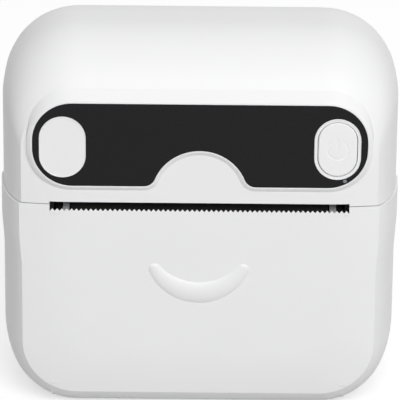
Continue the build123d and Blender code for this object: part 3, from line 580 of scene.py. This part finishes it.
class ScrewPattern(Pattern):
    """Round-headed screws with a cross recess and a real thread, one at each point."""

    name = "cross_screws"
    inputs = {
        "Head Radius": "NodeSocketFloat",
        "Head Height": "NodeSocketFloat",
        "Core Radius": "NodeSocketFloat",
        "Shank": "NodeSocketFloat",
        "Turns": "NodeSocketFloat",
        "Crest": "NodeSocketFloat",
        "Facing": "NodeSocketRotation",
    }
    SIDES = 28
    # Shares of the head's height, down from its top.
    RIM_DEPTH = 0.6
    RIM_MIDDLE = -0.7
    DOME_DEPTH = 0.4
    DOME_FOOT = -0.401
    SHANK_TOP = -0.99
    # Shares of the head's radius: the dome's top, and a recess bar's length, width and depth.
    DOME_TOP = 0.78
    RECESS = (1.15, 0.24, 0.9)
    # Shares of the shank's length, the places from its middle or its top.
    THREADED = 0.82
    THREAD_START = -0.48
    SHANK_MIDDLE = -0.5
    TURN_STEPS = 20
    RIDGE_SIDES = 4

    @staticmethod
    def scaled(graph: Graph, value: bpy.types.NodeSocket, factor: float) -> bpy.types.NodeSocket:
        """Multiply a value by a constant.

        Args:
            graph: The tree's graph.
            value: The value.
            factor: The constant.

        Returns:
            The product.
        """
        node = graph.add("ShaderNodeMath", operation="MULTIPLY")
        node.inputs[1].default_value = factor
        graph.join(value, node.inputs[0])
        return node.outputs[0]

    @staticmethod
    def lifted(graph: Graph, mesh: bpy.types.NodeSocket, rise: bpy.types.NodeSocket) -> bpy.types.NodeSocket:
        """Move a mesh up.

        Args:
            graph: The tree's graph.
            mesh: The mesh.
            rise: How far up.

        Returns:
            The moved mesh.
        """
        place = graph.add("ShaderNodeCombineXYZ")
        moved = graph.add("GeometryNodeTransform")
        graph.join(rise, place.inputs["Z"])
        graph.join(mesh, moved.inputs["Geometry"])
        graph.join(place.outputs["Vector"], moved.inputs["Translation"])
        return moved.outputs["Geometry"]

    def head(self, graph: Graph, given: bpy.types.Node) -> bpy.types.NodeSocket:
        """Build the head, its top at zero, and cut the cross out of it.

        Args:
            graph: The tree's graph.
            given: The group input node.

        Returns:
            The head.
        """
        radius, height = given.outputs["Head Radius"], given.outputs["Head Height"]
        rim = graph.add("GeometryNodeMeshCylinder", {"Vertices": self.SIDES})
        dome = graph.add("GeometryNodeMeshCone", {"Vertices": self.SIDES})
        graph.join(radius, rim.inputs["Radius"])
        graph.join(self.scaled(graph, height, self.RIM_DEPTH), rim.inputs["Depth"])
        graph.join(radius, dome.inputs["Radius Bottom"])
        graph.join(self.scaled(graph, radius, self.DOME_TOP), dome.inputs["Radius Top"])
        graph.join(self.scaled(graph, height, self.DOME_DEPTH), dome.inputs["Depth"])
        whole = graph.add("GeometryNodeMeshBoolean", operation="UNION")
        for solid, place in ((rim, self.RIM_MIDDLE), (dome, self.DOME_FOOT)):
            rise = self.scaled(graph, height, place)
            graph.join(self.lifted(graph, solid.outputs["Mesh"], rise), whole.inputs[1])
        cut = graph.add("GeometryNodeMeshBoolean", operation="DIFFERENCE")
        graph.join(whole.outputs["Mesh"], cut.inputs[0])
        long, thin, deep = (self.scaled(graph, radius, share) for share in self.RECESS)
        for first, second in ((long, thin), (thin, long)):
            size = graph.add("ShaderNodeCombineXYZ")
            bar = graph.add("GeometryNodeMeshCube")
            for value, axis in ((first, "X"), (second, "Y"), (deep, "Z")):
                graph.join(value, size.inputs[axis])
            graph.join(size.outputs["Vector"], bar.inputs["Size"])
            graph.join(bar.outputs["Mesh"], cut.inputs[1])
        return cut.outputs["Mesh"]

    def shank(self, graph: Graph, given: bpy.types.Node) -> bpy.types.NodeSocket:
        """Hang the shank under the head and wind its thread round it.

        Args:
            graph: The tree's graph.
            given: The group input node.

        Returns:
            The shank with its thread.
        """
        core = graph.add("GeometryNodeMeshCylinder", {"Vertices": self.SIDES})
        wound = graph.add("GeometryNodeCurveSpiral", {"Resolution": self.TURN_STEPS})
        ridge = graph.add("GeometryNodeCurvePrimitiveCircle", {"Resolution": self.RIDGE_SIDES})
        swept = graph.add("GeometryNodeCurveToMesh", {"Fill Caps": True})
        both = graph.add("GeometryNodeJoinGeometry")
        length = given.outputs["Shank"]
        graph.join(given.outputs["Core Radius"], core.inputs["Radius"])
        graph.join(length, core.inputs["Depth"])
        for end in ("Start Radius", "End Radius"):
            graph.join(given.outputs["Core Radius"], wound.inputs[end])
        graph.join(given.outputs["Turns"], wound.inputs["Rotations"])
        graph.join(self.scaled(graph, length, self.THREADED), wound.inputs["Height"])
        graph.join(given.outputs["Crest"], ridge.inputs["Radius"])
        graph.join(wound.outputs["Curve"], swept.inputs["Curve"])
        graph.join(ridge.outputs["Curve"], swept.inputs["Profile Curve"])
        thread = self.lifted(graph, swept.outputs["Mesh"], self.scaled(graph, length, self.THREAD_START))
        graph.join(thread, both.inputs["Geometry"])
        graph.join(core.outputs["Mesh"], both.inputs["Geometry"])
        down = graph.add("ShaderNodeMath", operation="ADD")
        graph.join(self.scaled(graph, length, self.SHANK_MIDDLE), down.inputs[0])
        graph.join(self.scaled(graph, given.outputs["Head Height"], self.SHANK_TOP), down.inputs[1])
        return self.lifted(graph, both.outputs["Geometry"], down.outputs[0])

    def wire(self, graph: Graph, given: bpy.types.Node) -> bpy.types.NodeSocket:
        """Put one whole screw at each of the carrier's points, turned the given way.

        Args:
            graph: The tree's graph.
            given: The group input node.

        Returns:
            The screws.
        """
        whole = graph.add("GeometryNodeJoinGeometry")
        rows = graph.add("GeometryNodeInstanceOnPoints")
        graph.join(self.head(graph, given), whole.inputs["Geometry"])
        graph.join(self.shank(graph, given), whole.inputs["Geometry"])
        graph.join(given.outputs["Geometry"], rows.inputs["Points"])
        graph.join(whole.outputs["Geometry"], rows.inputs["Instance"])
        graph.join(given.outputs["Facing"], rows.inputs["Rotation"])
        return rows.outputs["Instances"]


class BlockPattern(Pattern):
    """Small blocks at the carrier's points, each at a scale of its own."""

    name = "small_blocks"
    inputs = {"Size": "NodeSocketVector", "Spread": "NodeSocketFloat", "Seed": "NodeSocketInt"}

    def wire(self, graph: Graph, given: bpy.types.Node) -> bpy.types.NodeSocket:
        """Put a block at each point, its scale drawn from a seeded range below 1.

        Args:
            graph: The tree's graph.
            given: The group input node.

        Returns:
            The blocks.
        """
        block = graph.add("GeometryNodeMeshCube")
        rows = graph.add("GeometryNodeInstanceOnPoints")
        draw = graph.add("FunctionNodeRandomValue", data_type="FLOAT")
        low = graph.add("ShaderNodeMath", operation="SUBTRACT")
        low.inputs[0].default_value = 1.0
        graph.join(given.outputs["Spread"], low.inputs[1])
        graph.join(low.outputs[0], draw.inputs[2])
        graph.join(given.outputs["Seed"], draw.inputs["Seed"])
        graph.join(given.outputs["Size"], block.inputs["Size"])
        graph.join(given.outputs["Geometry"], rows.inputs["Points"])
        graph.join(block.outputs["Mesh"], rows.inputs["Instance"])
        graph.join(draw.outputs[1], rows.inputs["Scale"])
        return rows.outputs["Instances"]


@dataclass
class CarriedNodes:
    """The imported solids: smooth copies of the curved skins, and better materials on the rest."""

    skins: tuple[str, ...] = (
        "rear_case", "front_case", "lid", "visor_panel", "power_button", "platen_rubber", "roller_bushes",
    )
    left_out: tuple[str, ...] = ("case_screws", "front_screws", "motor_screws")
    crease: float = math.radians(24)
    tooth_root: float = 45.0 * MM
    lid_face: float = -20.5 * MM
    lid_inside: float = -18.2 * MM
    tooth_tip: float = 45.55 * MM
    slot_half: float = 31.2 * MM
    tooth_slope: float = math.tan(math.radians(26))
    slack: float = 0.01 * MM
    crest_proud: float = 0.05 * MM
    crest_left: float = 0.01 * MM
    flat: float = math.radians(0.4)
    normal_weight: int = 100

    def sharpen_teeth(self, mesh: bpy.types.Mesh) -> None:
        """Slope the teeth, and the wall they stand on, down behind their front edge.

        Args:
            mesh: The lid's merged mesh.
        """
        for vert in mesh.vertices:
            back = vert.co.y - self.lid_face
            behind = self.slack < back and vert.co.y < self.lid_inside
            level = self.tooth_root - self.slack < vert.co.z < self.tooth_tip + self.slack
            if behind and level and abs(vert.co.x) < self.slot_half:
                vert.co.z = self.tooth_root - back * self.tooth_slope

    def lay_smile_flat(self, mesh: bpy.types.Mesh) -> None:
        """Sink the crescent's flat crest almost to the lid's face, to carry the domed one.

        Args:
            mesh: The lid's merged mesh.
        """
        for vert in mesh.vertices:
            if vert.co.y < self.lid_face - self.crest_proud:
                vert.co.y = self.lid_face - self.crest_left

    def weigh_normals(self, piece: bpy.types.Object) -> None:
        """Let broad flat faces keep their own shading where they run into narrow curved ones.

        Args:
            piece: A smooth piece with its sharp edges marked.
        """
        weighted = piece.modifiers.new("weighted", "WEIGHTED_NORMAL")
        weighted.keep_sharp = True
        weighted.weight = self.normal_weight
        settled = settled_mesh(piece)
        piece.modifiers.clear()
        piece.data = settled

    def smooth_skin(self, node: str) -> None:
        """Copy one node's mesh, merged and smoothly shaded, to stand for it.

        Args:
            node: The CAD node's name.
        """
        mesh = bpy.data.meshes.new(node + "_skin")
        grid = merged_grid(node)
        bmesh.ops.dissolve_degenerate(grid, edges=grid.edges, dist=MERGE)
        bmesh.ops.dissolve_limit(grid, angle_limit=self.flat, verts=grid.verts, edges=grid.edges)
        grid.to_mesh(mesh)
        grid.free()
        if node == "lid":
            self.sharpen_teeth(mesh)
            self.lay_smile_flat(mesh)
        mesh.shade_smooth()
        mesh.set_sharp_from_angle(angle=self.crease)
        piece = linked(node + "_skin", mesh)
        self.weigh_normals(piece)
        place_piece(piece, body_of(node), NODE_FINISHES[node])
        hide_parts(node)

    def dress(self) -> None:
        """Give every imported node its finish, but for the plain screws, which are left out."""
        for node, finish in NODE_FINISHES.items():
            if node in self.left_out:
                continue
            if node in self.skins:
                self.smooth_skin(node)
                continue
            solid = frame["nodes"][node]
            for slot in solid.material_slots:
                slot.material = finish.material()
            LOG.info("%s keeps its solid, in %s", node, finish.name)


@dataclass
class Rims:
    """The rounded lips round the visor, the eye boss and the button ring, which catch the light."""

    radius: float = 0.15 * MM
    offset: float = 0.17 * MM
    sink: float = 0.05 * MM
    lamp_reach: float = 2.0 * MM
    sides: int = 8
    forward: float = -0.9
    front_depth: float = MERGE * 4

    def loops(self) -> list[list[Vector]]:
        """Find the visor front face's edge loops and move them off it, on to the white round it.

        Returns:
            The points of each loop, but for any as small as the indicator's.
        """
        grid = merged_grid("visor_panel")
        front = min(vert.co.y for vert in grid.verts)
        faces = [
            face for face in grid.faces
            if face.normal.y < self.forward and abs(face.calc_center_median().y - front) < self.front_depth
        ]
        owned = set(faces)
        edges = {}
        for face in faces:
            for loop in face.loops:
                if not any(other in owned for other in loop.edge.link_faces if other is not face):
                    edges[loop.vert] = loop.link_loop_next.vert
        found = []
        while edges:
            start, step = edges.popitem()
            chain = [start.co.copy()]
            while step in edges:
                chain.append(step.co.copy())
                step = edges.pop(step)
            if max((a - chain[0]).length for a in chain) > self.lamp_reach:
                found.append([self.moved(chain, place, front) for place in range(len(chain))])
        grid.free()
        return found

    def moved(self, chain: list[Vector], place: int, front: float) -> Vector:
        """Move one loop point away from the panel by the offset.

        Args:
            chain: The loop, with the panel on its left.
            place: The point's number.
            front: Where the panel's front face lies.

        Returns:
            The moved point.
        """
        run = chain[(place + 1) % len(chain)] - chain[place - 1]
        run.normalize()
        away = Vector((run.z, 0.0, -run.x))
        return Vector((chain[place].x, front + self.sink, chain[place].z)) + away * self.offset

    def build(self) -> None:
        """Lay a bead along each loop."""
        for number, chain in enumerate(sorted(self.loops(), key=len, reverse=True)):
            count = len(chain)
            edges = [(place, (place + 1) % count) for place in range(count)]
            carrier = new_piece(f"rim_{number}", chain, edges)
            piece = BeadPattern().run(carrier, CASE_WHITE, {"Radius": self.radius, "Sides": self.sides})
            place_piece(piece, "case", CASE_WHITE)


@dataclass(frozen=True)
class Arc:
    """A circle through two level points and the lowest point midway between them, in mm."""

    reach: float
    ends: float
    bottom: float

    def radius(self) -> float:
        """Return the circle's radius."""
        rise = self.ends - self.bottom
        return (self.reach**2 + rise**2) / (2 * rise)

    def centre(self) -> float:
        """Return the height of the circle's centre."""
        return self.bottom + self.radius()

    def hit(self, start: float, turn: float) -> float:
        """Measure how far a ray runs before it meets the circle.

        Args:
            start: The height on the middle line that the ray starts from.
            turn: The ray's angle from straight down.

        Returns:
            The ray's length.
        """
        above = start - self.centre()
        return above * math.cos(turn) + math.sqrt(self.radius() ** 2 - (above * math.sin(turn)) ** 2)


@dataclass
class Smile:
    """The softly domed crescent on the lid, in mm."""

    lower: Arc = Arc(10.5, 32.0, 24.6)
    upper: Arc = Arc(8.4, 33.1, 29.2)
    middle: Arc = Arc(9.45, 32.55, 26.9)
    face: float = -20.5
    dome: float = 0.56
    fullness: float = 0.8
    tip_fall: float = 0.6
    tip_reach: float = 1.15
    tip_start: float = 0.965
    tip_lead: float = 0.12
    columns: int = 44
    rows: int = 12
    tip_columns: int = 8
    crease: float = math.radians(50)

    def stations(self) -> list[Station]:
        """Find the places along the crescent.

        Returns:
            The centre of each, the direction across the crescent and half its width.
        """
        start = self.middle.centre()
        last = self.tip_start * math.asin(self.middle.reach / self.middle.radius())
        found = []
        for column in range(self.columns + 1):
            turn = last * (2 * column / self.columns - 1)
            low, high = self.lower.hit(start, turn), self.upper.hit(start, turn)
            across = Vector((math.sin(turn), 0.0, -math.cos(turn)))
            centre = Vector((0.0, self.face, start)) + across * (low + high) / 2
            found.append((centre, across, (low - high) / 2))
        return self.tip(found[0], -1.0) + found + self.tip(found[-1], 1.0)

    def tip(self, end: Station, way: float) -> list[Station]:
        """Find the places that round off one end.

        Args:
            end: The last full place.
            way: -1 for the left end and 1 for the right one.

        Returns:
            Those places, in the order of the others.
        """
        centre, across, half = end
        along = Vector((-across.z, 0.0, across.x)) * way
        found = []
        for step in range(1, self.tip_columns + 1):
            turn = math.pi / 2 * (step - self.tip_lead) / self.tip_columns
            found.append((centre + along * self.tip_reach * math.sin(turn), across, half * math.cos(turn)))
        return found[::-1] if way < 0 else found

    def build(self) -> None:
        """Make the domed crescent, closed behind."""
        stations = self.stations()
        widest = max(half for _, _, half in stations)
        grid = bmesh.new()
        lines = []
        for centre, across, half in stations:
            rise = self.dome * (half / widest) ** self.tip_fall
            line = []
            for row in range(self.rows + 1):
                side = math.sin(math.pi / 2 * (2 * row / self.rows - 1))
                lift = Vector((0.0, rise * max(0.0, 1 - side**2) ** self.fullness, 0.0))
                line.append(grid.verts.new((centre + across * half * side - lift) * MM))
            lines.append(line)
        for left, right in zip(lines, lines[1:]):
            for row in range(self.rows):
                grid.faces.new((left[row], left[row + 1], right[row + 1], right[row]))
        bmesh.ops.holes_fill(grid, edges=[edge for edge in grid.edges if edge.is_boundary], sides=0)
        bmesh.ops.recalc_face_normals(grid, faces=grid.faces)
        piece = new_piece("smile_dome", [])
        grid.to_mesh(piece.data)
        grid.free()
        piece.data.shade_smooth()
        piece.data.set_sharp_from_angle(angle=self.crease)
        place_piece(piece, "lid", CASE_WHITE)


@dataclass
class Screws:
    """Cross-headed screws in place of the plain ones."""

    nodes: tuple[str, ...] = ("case_screws", "front_screws", "motor_screws")
    head_height: float = 1.3 * MM
    short_head_height: float = 1.0 * MM
    core_share: float = 0.42
    pitch: float = 0.55 * MM
    crest: float = 0.2 * MM

    def build(self) -> None:
        """Make each node's screws where its plain ones are."""
        for node in self.nodes:
            boxes = islands(node)
            size = boxes[0][1] - boxes[0][0]
            axis = max(range(3), key=lambda way: size[way])
            tops = []
            for low, high in boxes:
                top = (low + high) / 2
                top[axis] = high[axis]
                tops.append(top)
            height = self.short_head_height if axis == 0 else self.head_height
            shank = size[axis] - height
            radius = size[2] / 2
            facing = Vector((0.0, 0.0, 1.0)).rotation_difference(Vector([float(way == axis) for way in range(3)]))
            values = {
                "Head Radius": radius,
                "Head Height": height,
                "Core Radius": radius * self.core_share,
                "Shank": shank,
                "Turns": shank * ScrewPattern.THREADED / self.pitch,
                "Crest": self.crest,
                "Facing": facing.to_euler(),
            }
            piece = ScrewPattern().run(new_piece(node + "_cut", tops), SCREW_STEEL, values)
            place_piece(piece, body_of(node), SCREW_STEEL)
            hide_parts(node)


@dataclass
class Contacts:
    """The gold fingers on the charging socket's tongue, and small parts on the main board."""

    fingers: int = 12
    finger_pitch: float = 0.5 * MM
    finger_size: Point = (4.2 * MM, 0.04 * MM, 0.3 * MM)
    finger_middle: float = 3.2 * MM
    tongue_half: float = 0.36 * MM
    part_size: Point = (1.0 * MM, 0.45 * MM, 0.55 * MM)
    part_step: float = 2.3 * MM
    part_spread: float = 0.35
    parts_left: float = -21.0 * MM
    parts_foot: float = 4.0 * MM
    gaps: tuple[int, int, int] = (5, 3, 4)
    keep_off: float = 1.2 * MM
    seed: int = 7

    def tongue(self) -> None:
        """Lay the gold fingers along both faces of the tongue."""
        low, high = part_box("usb_socket")
        middle = (low + high) / 2
        along = low.x + self.finger_middle
        points = []
        for side in (-self.tongue_half, self.tongue_half):
            for finger in range(self.fingers):
                rise = (finger - (self.fingers - 1) / 2) * self.finger_pitch
                points.append(Vector((along, middle.y + side, middle.z + rise)))
        carrier = new_piece("socket_fingers", points)
        values = {"Size": self.finger_size, "Spread": 0.0, "Seed": self.seed}
        place_piece(BlockPattern().run(carrier, BRASS, values), body_of("usb_socket"), BRASS)

    def small_parts(self) -> None:
        """Set small parts on the main board's front, clear of the chips and the rail."""
        low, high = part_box("main_board")
        taken = islands("board_chips")
        reach = Vector((self.keep_off, 0.0, self.keep_off))
        points = []
        columns = int((high.x - low.x) / self.part_step)
        rows = int((high.z - low.z) / self.part_step)
        foot = low.z + self.parts_foot
        by_column, by_row, every = self.gaps
        for column in range(columns):
            for row in range(rows):
                spot = Vector((self.parts_left + column * self.part_step, low.y, foot + row * self.part_step))
                if spot.x > high.x - self.keep_off or spot.z > high.z - self.keep_off:
                    continue
                if (column * by_column + row * by_row) % every == 0:
                    continue
                blocked = any(
                    chip_low.x - reach.x < spot.x < chip_high.x + reach.x
                    and chip_low.z - reach.z < spot.z < chip_high.z + reach.z
                    for chip_low, chip_high in taken
                )
                if not blocked:
                    points.append(spot)
        carrier = new_piece("board_small_parts", points)
        values = {"Size": self.part_size, "Spread": self.part_spread, "Seed": self.seed}
        place_piece(BlockPattern().run(carrier, CHIP_BLACK, values), body_of("main_board"), CHIP_BLACK)

    def build(self) -> None:
        """Make both sets."""
        self.tongue()
        self.small_parts()


@dataclass
class Studio:
    """The camera at the photograph's angle, soft lamps, and a plain pale floor."""

    aim: Point = (0.0001, 0.0, 0.045)
    drop: float = 4.96 * MM
    distance: float = 0.75
    elevation: float = math.radians(21.4)
    roll: float = math.radians(0.54)
    focal_px: float = 3525.0
    frame_px: float = 400.0
    sensor: float = 36.0
    ambient: float = 0.78
    ambient_side: float = 0.12
    floor_size: float = 6.0
    floor_white: float = 0.54
    floor_lift: float = 0.58
    clip: tuple[float, float] = (0.01, 20.0)
    lamps: tuple[tuple[str, Point, float, float], ...] = (
        ("key", (0.25, -1.0, 0.85), 0.9, 10.1),
        ("fill_right", (0.95, -0.1, 0.35), 0.7, 0.9),
    )

    def camera(self) -> None:
        """Make the camera."""
        back = Vector((0.0, -math.cos(self.elevation), math.sin(self.elevation)))
        up = Vector((0.0, math.sin(self.elevation), math.cos(self.elevation)))
        data = bpy.data.cameras.new("camera")
        data.sensor_width = self.sensor
        data.lens = self.sensor * self.focal_px / self.frame_px
        data.clip_start, data.clip_end = self.clip
        seen = linked("camera", data)
        seen.rotation_mode = "QUATERNION"
        seen.location = Vector(self.aim) - up * self.drop + back * self.distance
        turn = Matrix.Rotation(self.roll, 4, "Z").to_quaternion()
        seen.rotation_quaternion = (-back).to_track_quat("-Z", "Y") @ turn
        bpy.context.scene.camera = seen

    def light(self) -> None:
        """Hang the soft lamps."""
        for name, place, size, power in self.lamps:
            data = bpy.data.lights.new(name, "AREA")
            data.shape, data.size, data.energy = "DISK", size, power
            lamp = linked(name, data)
            lamp.location = place
            lamp.rotation_mode = "QUATERNION"
            lamp.rotation_quaternion = (Vector(self.aim) - Vector(place)).to_track_quat("-Z", "Y")

    @staticmethod
    def seen_mask(graph: Graph) -> bpy.types.NodeSocket:
        """Mark the rays that are seen, apart from those that only light.

        Args:
            graph: The graph to add to.

        Returns:
            A mask that is 1 for camera, glossy and transmission rays.
        """
        path = graph.add("ShaderNodeLightPath")
        both = graph.add("ShaderNodeMath", operation="MAXIMUM")
        every = graph.add("ShaderNodeMath", operation="MAXIMUM")
        graph.join(path.outputs["Is Camera Ray"], both.inputs[0])
        graph.join(path.outputs["Is Glossy Ray"], both.inputs[1])
        graph.join(both.outputs[0], every.inputs[0])
        graph.join(path.outputs["Is Transmission Ray"], every.inputs[1])
        return every.outputs[0]

    def side_fall(self, graph: Graph) -> bpy.types.NodeSocket:
        """Let the world's light fall away to the left and right.

        Args:
            graph: The world's graph.

        Returns:
            The light's strength.
        """
        place = graph.add("ShaderNodeTexCoord")
        parts = graph.add("ShaderNodeSeparateXYZ")
        aside = graph.add("ShaderNodeMath", operation="ABSOLUTE")
        fall = graph.add("ShaderNodeMapRange", {"To Min": self.ambient, "To Max": self.ambient_side})
        graph.join(place.outputs["Generated"], parts.inputs["Vector"])
        graph.join(parts.outputs["X"], aside.inputs[0])
        graph.join(aside.outputs[0], fall.inputs["Value"])
        return fall.outputs["Result"]

    def backdrop(self) -> None:
        """Make the world white where it is seen, and softer where it lights."""
        world = bpy.data.worlds.new("pale_world")
        bpy.context.scene.world = world
        graph = fresh_graph(world)
        out = graph.add("ShaderNodeOutputWorld")
        lit = graph.add("ShaderNodeBackground", {"Color": WHITE})
        graph.join(self.side_fall(graph), lit.inputs["Strength"])
        seen = graph.add("ShaderNodeBackground", {"Color": WHITE, "Strength": 1.0})
        mix = graph.add("ShaderNodeMixShader")
        graph.join(self.seen_mask(graph), mix.inputs["Fac"])
        graph.join(lit.outputs[0], mix.inputs[1])
        graph.join(seen.outputs[0], mix.inputs[2])
        graph.join(mix.outputs[0], out.inputs["Surface"])

    def floor(self) -> None:
        """Lay the floor, which keeps the printer's shadow."""
        half = self.floor_size / 2
        corners = [(-half, -half, 0), (half, -half, 0), (half, half, 0), (-half, half, 0)]
        piece = new_piece("floor", corners, faces=[(0, 1, 2, 3)])
        made = bpy.data.materials.new("pale_floor")
        graph = fresh_graph(made)
        out = graph.add("ShaderNodeOutputMaterial")
        card = graph.add("ShaderNodeBsdfDiffuse", {"Color": (*[self.floor_white] * 3, 1)})
        glow = graph.add("ShaderNodeEmission", {"Color": WHITE})
        lift = graph.add("ShaderNodeMath", operation="MULTIPLY")
        lift.inputs[1].default_value = self.floor_lift
        both = graph.add("ShaderNodeAddShader")
        graph.join(self.seen_mask(graph), lift.inputs[0])
        graph.join(lift.outputs[0], glow.inputs["Strength"])
        graph.join(card.outputs[0], both.inputs[0])
        graph.join(glow.outputs[0], both.inputs[1])
        graph.join(both.outputs[0], out.inputs["Surface"])
        piece.data.materials.append(made)

    def build(self) -> None:
        """Set up the whole studio."""
        self.camera()
        self.light()
        self.backdrop()
        self.floor()
        bpy.context.scene.view_settings.view_transform = "Standard"


def main() -> None:
    """Build the printer's looks, piece by piece."""
    logging.basicConfig(level=logging.INFO, format="%(name)s: %(message)s")
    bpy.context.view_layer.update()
    Studio().build()
    CarriedNodes().dress()
    Rims().build()
    Smile().build()
    Screws().build()
    Contacts().build()


if __name__ == "__main__":
    main()
